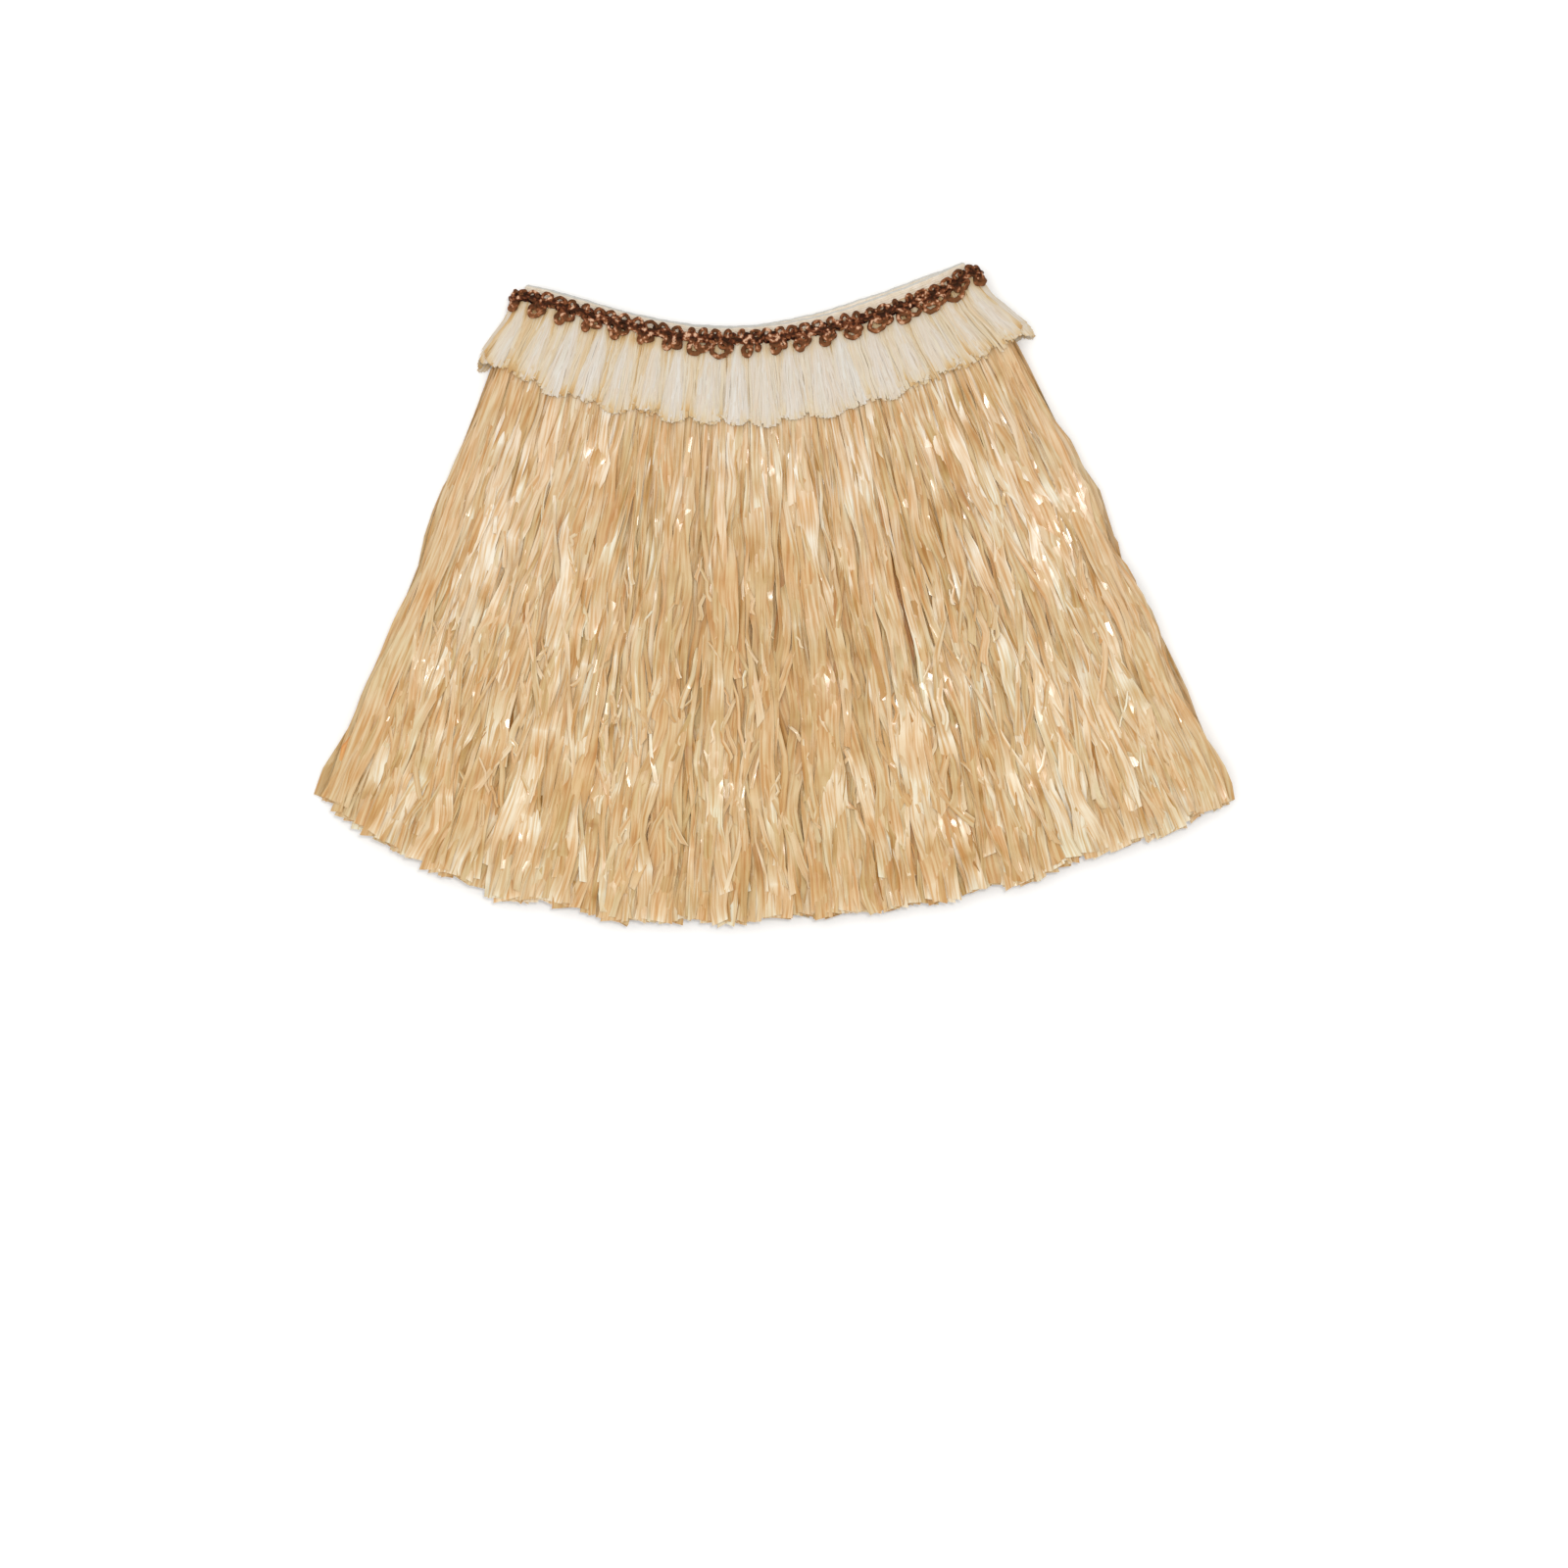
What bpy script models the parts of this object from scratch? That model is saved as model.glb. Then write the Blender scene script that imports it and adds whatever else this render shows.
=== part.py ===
# A grass skirt of raffia, laid flat and face up on a table: the front half lies on the back half.
#
# From the inside out, and the same on both halves, it is an elastic waistband, an inner and an outer
# curtain of long grass locks on header strips, a short pale tufted fringe on its own header strip, and a
# gimp braid that covers the headers. Everything goes round the waistband, so each half ends in a
# quarter turn at the two side folds.
#
# Places on the skirt are given by across (0 at the left fold, 1 at the right fold), turn (degrees round
# a side fold, negative at the left), down (metres below the waistband's upper edge) and depth (metres
# from the middle plane between the two halves).

import math
import random
from collections import namedtuple

import bmesh
import bpy
import numpy as np
from mathutils import Vector

MM = 0.001
FRONT, BACK = 1, -1

# Waistline: an arc that hangs below the chord between the two folds, flatter near the left one.
WAIST_CHORD = 292 * MM
WAIST_SAG = 35.5 * MM
WAIST_FLATNESS = (1.2, 0.95)  # power of the sine at the left and the right
WAIST_TILT = math.radians(3)
WAIST_PLACE = (-18.2 * MM, 216.8 * MM)  # the chord's middle, from the middle of the laid skirt

HALF_THICKNESS = 9.4 * MM  # from the table to the middle plane
SEAM_GAP = 0.3 * MM  # between the two halves' ends, on the fold line
FOLD_TURNS = (90, 70, 20)  # where a header strip has its sections round a fold

# How the grass falls from the waist: angle is degrees from straight down, bow is how far a lock bulges
# sideways, rise is how far the back half lies above the front half, flare is the short fringe's angle.
Station = namedtuple("Station", "across angle length bow rise flare")
BOW_HEIGHT = 0.8  # below 1, a lock bulges most above the middle of its length
STATIONS = (
    Station(0.00, -21.8, 378 * MM, 3.0 * MM, 0.0 * MM, -29),
    Station(0.10, -18.0, 400 * MM, 2.0 * MM, 0.5 * MM, -22),
    Station(0.25, -10.8, 409 * MM, 0.0 * MM, 0.5 * MM, -13),
    Station(0.50, 1.3, 405 * MM, 0.0 * MM, 1.0 * MM, 1),
    Station(0.75, 14.2, 408 * MM, 2.0 * MM, 3.0 * MM, 18),
    Station(0.90, 21.5, 410 * MM, 4.5 * MM, 2.0 * MM, 33),
    Station(1.00, 25.8, 409 * MM, 6.0 * MM, 0.0 * MM, 46),
)

# Waistband: a loop of elastic webbing.
BAND_WIDTH = 30 * MM
BAND_NEAR, BAND_FAR = 0.4 * MM, 2.0 * MM
BAND_SECTIONS = 22  # along each half
BAND_ROWS = 4

# Locks: the share of a cell left open between neighbours, how unevenly the cells are cut, how much a
# lock's sides wander on the way down, and how far its upper face is drawn in from its sides.
LOCK_GAP = 0.12
CELL_JITTER = 0.15
SIDE_WANDER = 0.15
CROWN_INSET = 0.16
CROWN_SINK = 0.35
TIP_SHARE = 0.84  # the width left at a lock's cut end

# A ring of a lock: how far down it is (None at the tip) and how deep its near and far faces lie.
Ring = namedtuple("Ring", "down near far")
# A fringe of locks on a header strip. The strip runs from top to root below the waistband's edge, cut is
# the locks' length as a share of the grass's, and ragged is how unevenly they are cut.
Fringe = namedtuple("Fringe", "name side top root near far locks fold_locks cut ragged rings material")

GRASS_CUT, INNER_CUT, TUFT_CUT = 1.0, 0.985, 0.163
FLARE_FROM = 28 * MM  # the short fringe leaves the grass's direction just below the braid

FRINGES = (
    Fringe(
        "grass_front_outer", FRONT, 7 * MM, 18 * MM, 4.0 * MM, 5.2 * MM, 48, True, GRASS_CUT, 0.018,
        (
            Ring(72 * MM, 3.8 * MM, 6.0 * MM),
            Ring(120 * MM, 3.9 * MM, 8.9 * MM),
            Ring(200 * MM, 3.8 * MM, 10.2 * MM),
            Ring(290 * MM, 3.3 * MM, 9.7 * MM),
            Ring(None, 2.8 * MM, 7.0 * MM),
        ),
        "raffia_gold",
    ),
    Fringe(
        "grass_front_inner", FRONT, 7 * MM, 17 * MM, 2.4 * MM, 3.6 * MM, 44, False, INNER_CUT, 0.02,
        (
            Ring(34 * MM, 2.4 * MM, 3.6 * MM),
            Ring(72 * MM, 0.4 * MM, 3.4 * MM),
            Ring(200 * MM, 0.3 * MM, 3.3 * MM),
            Ring(None, 0.3 * MM, 2.4 * MM),
        ),
        "raffia_shade",
    ),
    Fringe(
        "grass_back_inner", BACK, 7 * MM, 17 * MM, 2.4 * MM, 3.6 * MM, 40, False, INNER_CUT, 0.02,
        (
            Ring(34 * MM, 2.4 * MM, 3.6 * MM),
            Ring(72 * MM, 0.3 * MM, 3.6 * MM),
            Ring(200 * MM, 0.3 * MM, 3.6 * MM),
            Ring(None, 0.5 * MM, 3.9 * MM),
        ),
        "raffia_shade",
    ),
    Fringe(
        "grass_back_outer", BACK, 7 * MM, 18 * MM, 4.0 * MM, 5.2 * MM, 40, True, GRASS_CUT, 0.018,
        (
            Ring(72 * MM, 4.0 * MM, 6.4 * MM),
            Ring(95 * MM, 4.0 * MM, HALF_THICKNESS),
            Ring(200 * MM, 4.0 * MM, HALF_THICKNESS),
            Ring(290 * MM, 4.05 * MM, HALF_THICKNESS),
            Ring(None, 4.3 * MM, HALF_THICKNESS),
        ),
        "raffia_gold",
    ),
    Fringe(
        "tufts_front", FRONT, 8 * MM, 16 * MM, 5.6 * MM, 6.8 * MM, 21, True, TUFT_CUT, 0.05,
        (
            Ring(FLARE_FROM, 5.6 * MM, 6.8 * MM),
            Ring(38 * MM, 5.9 * MM, 9.3 * MM),
            Ring(54 * MM, 6.5 * MM, 10.3 * MM),
            Ring(None, 6.7 * MM, 9.3 * MM),
        ),
        "raffia_white",
    ),
    Fringe(
        "tufts_back", BACK, 8 * MM, 16 * MM, 5.6 * MM, 6.8 * MM, 21, True, TUFT_CUT, 0.05,
        (
            Ring(FLARE_FROM, 5.6 * MM, 6.8 * MM),
            Ring(38 * MM, 6.1 * MM, HALF_THICKNESS),
            Ring(54 * MM, 6.6 * MM, HALF_THICKNESS),
            Ring(None, 6.8 * MM, HALF_THICKNESS),
        ),
        "raffia_white",
    ),
)

# Gimp braid: a scroll of looped cord, scalloped along both edges and raised along its middle.
BRAID_TOP, BRAID_BOTTOM = 4.5 * MM, 24 * MM
BRAID_DROP = 3 * MM  # how much lower it runs at the folds
BRAID_NEAR, BRAID_FAR = 7.2 * MM, HALF_THICKNESS
BRAID_REPEATS = 19
BRAID_STEPS = 6  # sections in a repeat
TOP_SCALLOP, BOTTOM_SCALLOP = 2.4 * MM, 4.0 * MM
BRAID_RELIEF = 0.9 * MM

# Colour, roughness and metallic value of each finish.
Finish = namedtuple("Finish", "colour roughness metallic")
FINISHES = {
    "raffia_gold": Finish((0.76, 0.57, 0.33), 0.38, 0.0),
    "raffia_shade": Finish((0.60, 0.42, 0.21), 0.45, 0.0),
    "raffia_white": Finish((0.82, 0.76, 0.64), 0.48, 0.0),
    "elastic_cream": Finish((0.78, 0.69, 0.54), 0.75, 0.0),
    "braid_brown": Finish((0.16, 0.065, 0.035), 0.55, 0.0),
}


def station(across):
    """The fall of the grass between two stations."""
    shares = [row.across for row in STATIONS]
    return Station(*(np.interp(across, shares, [row[k] for row in STATIONS]) for k in range(6)))


def waist_point(across):
    x = (across - 0.5) * WAIST_CHORD
    y = -WAIST_SAG * max(math.sin(math.pi * across), 0) ** np.interp(across, (0, 1), WAIST_FLATNESS)
    cos_tilt, sin_tilt = math.cos(WAIST_TILT), math.sin(WAIST_TILT)
    return x * cos_tilt - y * sin_tilt, x * sin_tilt + y * cos_tilt


def grass_plan(across, down):
    """Plan place of a point on a grass lock."""
    here = station(across)
    angle = math.radians(here.angle)
    share = min(max(down / here.length, 0), 1)
    aside = here.bow * math.sin(math.pi * share**BOW_HEIGHT)
    x, y = waist_point(across)
    x += down * math.sin(angle) + aside * math.cos(angle)
    y += aside * math.sin(angle) - down * math.cos(angle)
    return x, y


def tuft_plan(across, down):
    """The same for the short fringe, which flares away from the grass below the braid."""
    x, y = grass_plan(across, min(down, FLARE_FROM))
    beyond = max(down - FLARE_FROM, 0)
    angle = math.radians(station(across).flare)
    return x + beyond * math.sin(angle), y - beyond * math.cos(angle)


def place(plan, side, across, turn, down, depth):
    """The point at a depth from the middle plane, carried round the fold where turn isn't 0."""
    x, y = plan(across, down)
    here = station(across)
    lift = here.rise if side == BACK else 0
    angle = math.radians(here.angle)
    round_fold = math.radians(turn)
    outward = depth * math.sin(round_fold)
    height = depth * math.cos(round_fold)
    if abs(turn) <= 90:
        height = side * max(height, SEAM_GAP / 2)
    x += outward * math.cos(WAIST_TILT) - lift * math.sin(angle)
    y += outward * math.sin(WAIST_TILT) + lift * math.cos(angle)
    return Vector((x, y, height))


def loft(bm, rings, closed=False):
    """Quads between successive rings of vertices, with capped ends unless the rings close on themselves."""
    pairs = list(zip(rings, rings[1:]))
    if closed:
        pairs.append((rings[-1], rings[0]))
    for ring, following in pairs:
        for k, corner in enumerate(ring):
            after = (k + 1) % len(ring)
            bm.faces.new((corner, ring[after], following[after], following[k]))
    if not closed:
        bm.faces.new(rings[0])
        bm.faces.new(tuple(reversed(rings[-1])))


def finish_of(name):
    if name in bpy.data.materials:
        return bpy.data.materials[name]
    look = FINISHES[name]
    material = bpy.data.materials.new(name)
    material.use_nodes = True
    shader = material.node_tree.nodes["Principled BSDF"]
    shader.inputs["Base Color"].default_value = (*look.colour, 1)
    shader.inputs["Roughness"].default_value = look.roughness
    shader.inputs["Metallic"].default_value = look.metallic
    return material


def add_piece(name, bm, material, parent):
    bmesh.ops.recalc_face_normals(bm, faces=bm.faces)
    mesh = bpy.data.meshes.new(name)
    bm.to_mesh(mesh)
    bm.free()
    mesh.materials.append(finish_of(material))
    piece = bpy.data.objects.new(name, mesh)
    piece.parent = parent
    bpy.context.scene.collection.objects.link(piece)
    return piece


def waistband_ring(bm, side, across, turn):
    """The webbing's section: down its outer face and back up its inner one."""
    rise = 0 if side == FRONT else station(across).rise
    downs = [BAND_WIDTH * row / (BAND_ROWS - 1) - rise for row in range(BAND_ROWS)]
    places = [(down, BAND_FAR) for down in downs] + [(down, BAND_NEAR) for down in reversed(downs)]
    # The whole loop is one piece, so it turns through 180 degrees at each fold.
    half_turn = turn if side == FRONT else 180
    return [bm.verts.new(place(grass_plan, FRONT, across, half_turn, down, depth)) for down, depth in places]


def waistband(parent):
    bm = bmesh.new()
    shares = [k / BAND_SECTIONS for k in range(BAND_SECTIONS + 1)]
    fold = [20, 70, 110, 160]
    rings = [waistband_ring(bm, FRONT, across, 0) for across in shares]
    rings += [waistband_ring(bm, FRONT, 1, turn) for turn in fold]
    rings += [waistband_ring(bm, BACK, across, 0) for across in reversed(shares)]
    rings += [waistband_ring(bm, FRONT, 0, -turn) for turn in reversed(fold)]
    loft(bm, rings, closed=True)
    return add_piece("waistband", bm, "elastic_cream", parent)


def cell_edges(count, rng):
    """Where neighbouring locks meet along the waist, cut a little unevenly."""
    inner = [(k + rng.uniform(-CELL_JITTER, CELL_JITTER)) / count for k in range(1, count)]
    return [0, *inner, 1]


class Edge:
    """The line between two neighbouring locks, which wanders sideways on its way down."""

    def __init__(self, across, count, rng):
        at_fold = across in (0, 1)
        self.across = across
        self.reach = 0 if at_fold else SIDE_WANDER / count
        self.waves = rng.uniform(0.6, 1.6)
        self.phase = rng.uniform(0, math.tau)

    def at(self, share):
        return self.across + self.reach * share * math.sin(self.phase + self.waves * math.tau * share)


def lock_sections(fringe, plan, sides, rng):
    """Four corners for each ring of a lock. sides gives its left and right (across, turn) at a share down."""
    left, _ = sides(0)
    length = fringe.cut * station(left[0]).length
    length *= 1 + rng.uniform(-1.4, 0.2) * fringe.ragged
    slant = rng.uniform(-0.5, 0.5) * fringe.ragged * length
    for ring in fringe.rings:
        tip = ring.down is None
        down = length if tip else ring.down
        share = down / length
        left, right = sides(share)
        taper = (1 - TIP_SHARE) / 2 if tip else 0
        corners = []
        for depth, end, cut in (
            (ring.near, 0, slant), (ring.far, 0, slant), (ring.far, 1, -slant), (ring.near, 1, -slant),
        ):
            upper = (depth == ring.far) == (fringe.side == FRONT)
            inset = taper + (CROWN_INSET if upper else 0)
            mix = inset if end == 0 else 1 - inset
            across = left[0] + (right[0] - left[0]) * mix
            turn = left[1] + (right[1] - left[1]) * mix
            sink = rng.uniform(0, CROWN_SINK) * (ring.far - ring.near) if upper else 0
            reach = down + (cut if tip else 0)
            corners.append(place(plan, fringe.side, across, turn, reach, depth - fringe.side * sink))
        yield corners


def fringe_piece(fringe, parent):
    """A header strip with locks that grow, face by face, out of its lower edge."""
    rng = random.Random(fringe.name)
    plan = tuft_plan if fringe.name.startswith("tufts") else grass_plan
    edges = [Edge(across, fringe.locks, rng) for across in cell_edges(fringe.locks, rng)]
    gap = LOCK_GAP / fringe.locks / 2

    # Sections of the strip from the left fold to the right one, and the locks between some of them.
    spots = [(0, -turn) for turn in FOLD_TURNS]
    locks = []
    if fringe.fold_locks:
        locks.append((1, lambda share: ((0, -FOLD_TURNS[1]), (0, -FOLD_TURNS[2]))))
    for one, other in zip(edges, edges[1:]):
        locks.append((
            len(spots),
            lambda share, one=one, other=other: ((one.at(share) + gap, 0), (other.at(share) - gap, 0)),
        ))
        spots += [(one.across + gap, 0), (other.across - gap, 0)]
    if fringe.fold_locks:
        locks.append((len(spots), lambda share: ((1, FOLD_TURNS[2]), (1, FOLD_TURNS[1]))))
    spots += [(1, turn) for turn in reversed(FOLD_TURNS)]

    bm = bmesh.new()
    strip = [
        [
            bm.verts.new(place(plan, fringe.side, across, turn, down, depth))
            for down, depth in (
                (fringe.top, fringe.near), (fringe.top, fringe.far),
                (fringe.root, fringe.far), (fringe.root, fringe.near),
            )
        ]
        for across, turn in spots
    ]
    loft(bm, strip)

    for first, sides in locks:
        one, other = strip[first], strip[first + 1]
        root_corners = (one[3], one[2], other[2], other[3])
        face = bm.faces.get(root_corners)
        bm.faces.remove(face)
        face = bm.faces.new(root_corners)
        for corners in lock_sections(fringe, plan, sides, rng):
            face = bmesh.ops.extrude_discrete_faces(bm, faces=[face])["faces"][0]
            for vert, corner in zip(face.verts, corners):
                vert.co = corner
    return add_piece(fringe.name, bm, fringe.material, parent)


def braid_spot(share):
    """The (across, turn) at a share of the way along one half of the braid, its two quarter turns included."""
    quarter = math.pi / 2 * BRAID_FAR
    whole = WAIST_CHORD + 2 * quarter
    along = share * whole
    if along < quarter:
        return 0, -90 * (1 - along / quarter)
    if along > whole - quarter:
        return 1, 90 * (1 - (whole - along) / quarter)
    return (along - quarter) / WAIST_CHORD, 0


def braid(name, side, relief, parent):
    bm = bmesh.new()
    steps = BRAID_REPEATS * BRAID_STEPS
    rings = []
    for step in range(steps + 1):
        across, turn = braid_spot(step / steps)
        wave = math.cos(math.tau * step / BRAID_STEPS)
        drop = BRAID_DROP * abs(2 * across - 1) ** 3
        top = BRAID_TOP + drop + TOP_SCALLOP * (1 - wave) / 2
        bottom = BRAID_BOTTOM + drop - BOTTOM_SCALLOP * (1 + wave) / 2
        section = (
            (top, BRAID_NEAR),
            (bottom, BRAID_NEAR),
            (bottom, BRAID_FAR - relief * (1 + wave) / 2),
            ((top + bottom) / 2, BRAID_FAR),
            (top, BRAID_FAR - relief * (1 - wave) / 2),
        )
        rings.append([bm.verts.new(place(grass_plan, side, across, turn, down, depth)) for down, depth in section])
    loft(bm, rings)
    return add_piece(name, bm, "braid_brown", parent)


def main():
    for obj in list(bpy.data.objects):
        bpy.data.objects.remove(obj)
    skirt = bpy.data.objects.new("grass_skirt", None)
    skirt.location = (*WAIST_PLACE, HALF_THICKNESS)
    bpy.context.scene.collection.objects.link(skirt)

    waistband(skirt)
    for fringe in FRINGES:
        fringe_piece(fringe, skirt)
    braid("braid_front", FRONT, BRAID_RELIEF, skirt)
    braid("braid_back", BACK, 0, skirt)


main()
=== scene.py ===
import math

import bpy
import numpy as np
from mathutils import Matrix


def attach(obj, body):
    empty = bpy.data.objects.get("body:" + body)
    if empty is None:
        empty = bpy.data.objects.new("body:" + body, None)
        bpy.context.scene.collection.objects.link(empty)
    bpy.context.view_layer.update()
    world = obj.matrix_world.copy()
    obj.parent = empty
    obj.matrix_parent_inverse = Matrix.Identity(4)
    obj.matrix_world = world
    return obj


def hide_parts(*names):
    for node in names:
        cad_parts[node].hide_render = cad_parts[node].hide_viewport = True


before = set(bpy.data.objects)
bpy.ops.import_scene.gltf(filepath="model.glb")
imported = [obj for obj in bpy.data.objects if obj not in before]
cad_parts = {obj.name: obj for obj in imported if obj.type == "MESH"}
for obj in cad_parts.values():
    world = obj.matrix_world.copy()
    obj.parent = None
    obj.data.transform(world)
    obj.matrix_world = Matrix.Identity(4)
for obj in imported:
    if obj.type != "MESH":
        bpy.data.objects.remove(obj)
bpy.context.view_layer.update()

mm = 0.001
front, back = 1, -1

# straight above the laid skirt, with the whole of it in the frame
camera = {
    "x": 8.25 * mm,
    "y": -127.4 * mm,
    "height": 3.0,
    "frameWidth": 1.056,  # what the frame takes in, at the height of the skirt's face
    "focusHeight": 15 * mm,
    "sensor": 36,
    "farthest": 20,
}
bpy.ops.object.camera_add(location=(camera["x"], camera["y"], camera["height"]), rotation=(0, 0, 0))
skirtCamera = bpy.context.object
skirtCamera.data.sensor_width = camera["sensor"]
skirtCamera.data.lens = camera["sensor"] * (camera["height"] - camera["focusHeight"]) / camera["frameWidth"]
skirtCamera.data.clip_end = camera["farthest"]
bpy.context.scene.camera = skirtCamera

# How the skirt lies. A place on it is across (0 left fold, 1 right fold), turn (radians round a fold),
# down (from the band's top edge) and depth (from the middle plane between the two halves).
lay = {
    "chord": 292 * mm,  # between the two folds of the waist
    "sag": 35.5 * mm,
    "flatness": (1.2, 0.95),  # the power of the sagging curve at the left and at the right
    "tilt": math.radians(3),
    "middle": (-18.2 * mm, 216.8 * mm),  # of the chord
    "halfThickness": 9.4 * mm,
    "bowHeight": 0.8,  # below 1 the sides bow out most above the middle
    "flareFrom": 28 * mm,  # the short fringe flares from here down
    "floorGap": 0.15 * mm,
}
# how the grass falls at places across the skirt, in degrees and mm
fall = {
    "across": (0.00, 0.10, 0.25, 0.50, 0.75, 0.90, 1.00),
    "angle": (-21.8, -18.0, -10.8, 1.3, 14.2, 21.5, 25.8),
    "length": (378, 397, 407, 405, 408, 410, 409),
    "bow": (3.0, 2.0, 0.0, 0.0, 2.0, 4.5, 6.0),
    "rise": (0.0, 0.5, 0.5, 1.0, 3.0, 2.0, 0.0),
    "flare": (-29, -22, -13, 1, 18, 33, 46),
}


def fallAt(column, across):
    return np.interp(across, fall["across"], fall[column])


def waistPlace(across):
    x = (across - 0.5) * lay["chord"]
    power = np.interp(across, (0, 1), lay["flatness"])
    y = -lay["sag"] * np.maximum(np.sin(np.pi * across), 0) ** power
    c, s = math.cos(lay["tilt"]), math.sin(lay["tilt"])
    return x * c - y * s + lay["middle"][0], x * s + y * c + lay["middle"][1]


def layPlace(side, across, turn, down, depth, aside=0.0, flared=False):
    # aside moves a point sideways, at right angles to the fall of the grass, and flared is the short fringe
    across, turn, down, depth, aside = np.broadcast_arrays(across, turn, down, depth, aside)
    angle = np.radians(fallAt("angle", across))
    held = np.minimum(down, lay["flareFrom"]) if flared else down
    beyond = down - held
    share = np.clip(held / (fallAt("length", across) * mm), 0, 1)
    shift = fallAt("bow", across) * mm * np.sin(np.pi * share ** lay["bowHeight"]) + aside * np.cos(turn)
    straight = held - fallAt("rise", across) * mm * (side == back)
    flare = np.radians(fallAt("flare", across))
    out = depth * np.sin(turn)
    x, y = waistPlace(across)
    x = x + straight * np.sin(angle) + shift * np.cos(angle) + beyond * np.sin(flare)
    y = y - straight * np.cos(angle) + shift * np.sin(angle) - beyond * np.cos(flare)
    x = x + out * math.cos(lay["tilt"])
    y = y + out * math.sin(lay["tilt"])
    z = lay["halfThickness"] + side * depth * np.cos(turn) - 0.6 * side * aside * np.sin(turn) * flared
    return np.stack((x, y, np.maximum(z, lay["floorGap"])), axis=-1)


def hexLinear(code):
    parts = [int(code[k:k + 2], 16) / 255 for k in (1, 3, 5)]
    return [p / 12.92 if p <= 0.04045 else ((p + 0.055) / 1.055) ** 2.4 for p in parts] + [1]


def addNode(material, kind, inputs=None, **settings):
    # an input is a value, or another node's output to link
    node = material.node_tree.nodes.new(kind)
    for key, value in settings.items():
        setattr(node, key, value)
    for key, value in (inputs or {}).items():
        if isinstance(value, bpy.types.NodeSocket):
            material.node_tree.links.new(value, node.inputs[key])
        else:
            node.inputs[key].default_value = value
    return node


def newMaterial(name, inputs):
    material = bpy.data.materials.new(name)
    material.use_nodes = True
    shader = material.node_tree.nodes["Principled BSDF"]
    for key, value in inputs.items():
        shader.inputs[key].default_value = value
    return material, shader


def rampStops(node, stops):
    elements = node.color_ramp.elements
    while len(elements) < len(stops):
        elements.new(0.5)
    for element, (position, code) in zip(elements, stops):
        element.position = position
        element.color = hexLinear(code)


# where bunches of film lie flat and bright: x, y and radius in mm
glints = (
    (196, 47, 21), (208, 66, 9), (2, 93, 16), (-80, -115, 12), (110, -60, 13), (-101, -186, 13),
    (175, -120, 11), (120, -160, 11), (-45, -105, 10), (-120, 93, 8), (105, 108, 11), (248, -80, 10),
    (130, 64, 9), (-115, -130, 10), (-30, -128, 9), (290, -30, 12), (182, 18, 11), (68, -198, 8),
    (-231, -48, 12), (37, -58, 8), (-60, 55, 8),
)


def glossAt(points):
    away = [np.hypot(points[:, 0] - x * mm, points[:, 1] - y * mm) / (radius * mm) for x, y, radius in glints]
    return np.exp(-np.min(away, axis=0) ** 2)


def fadeIn(value, start, end):
    # from 0 at start to 1 at end, and flat past both
    return np.clip((value - start) / (end - start), 0, 1)


def wavesAlong(rng, down):
    # gives a maker of waves down the ribbons, each of its own length, in mm, and with its own start
    def waves(size, shortest, longest):
        spread = rng.uniform(shortest, longest, (len(down), 1)) * mm
        return size * np.sin(math.tau * down / spread + rng.uniform(0, math.tau, (len(down), 1)))

    return waves


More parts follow.
